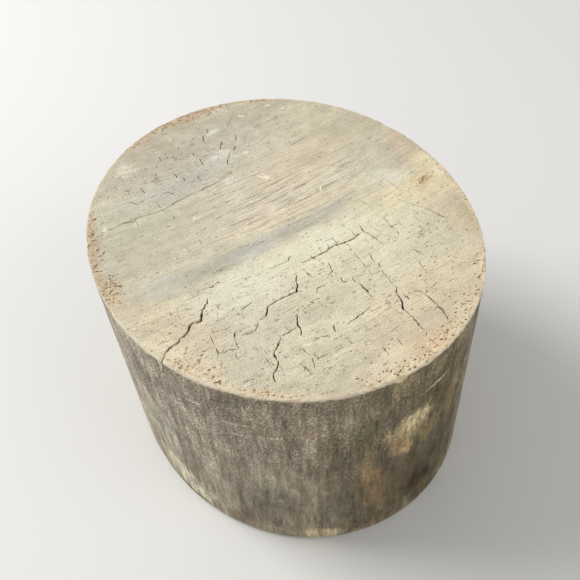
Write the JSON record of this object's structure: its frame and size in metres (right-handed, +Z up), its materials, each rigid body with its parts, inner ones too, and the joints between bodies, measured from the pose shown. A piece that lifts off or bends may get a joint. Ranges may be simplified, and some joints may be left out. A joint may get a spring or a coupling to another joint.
{
  "type": "hat block",
  "caption": "Oval wooden hat block with a flat end-grain crown and straight wall, and a plated, steel-lined spindle socket in its underside.",
  "frame": {"origin": "centre of the underside, at the height of the surface that the block stands on", "axes": "+Z up out of the crown, +Y from the hat's front to its back along the oval's long axis, +X across the oval"},
  "size_m": [0.167, 0.2, 0.115],
  "materials": {
    "weathered_wood": "dry, weathered end grain and darkened long grain",
    "sleeve_steel": "turned, dull",
    "plate_iron": "rusted, matt",
    "screw_steel": "tarnished"
  },
  "bodies": {
    "root": {"crown_block": "weathered_wood", "spindle_sleeve": "sleeve_steel", "socket_plate": "plate_iron", "plate_screw_1": "screw_steel", "plate_screw_2": "screw_steel", "plate_screw_3": "screw_steel", "plate_screw_4": "screw_steel"}
  },
  "joints": []
}
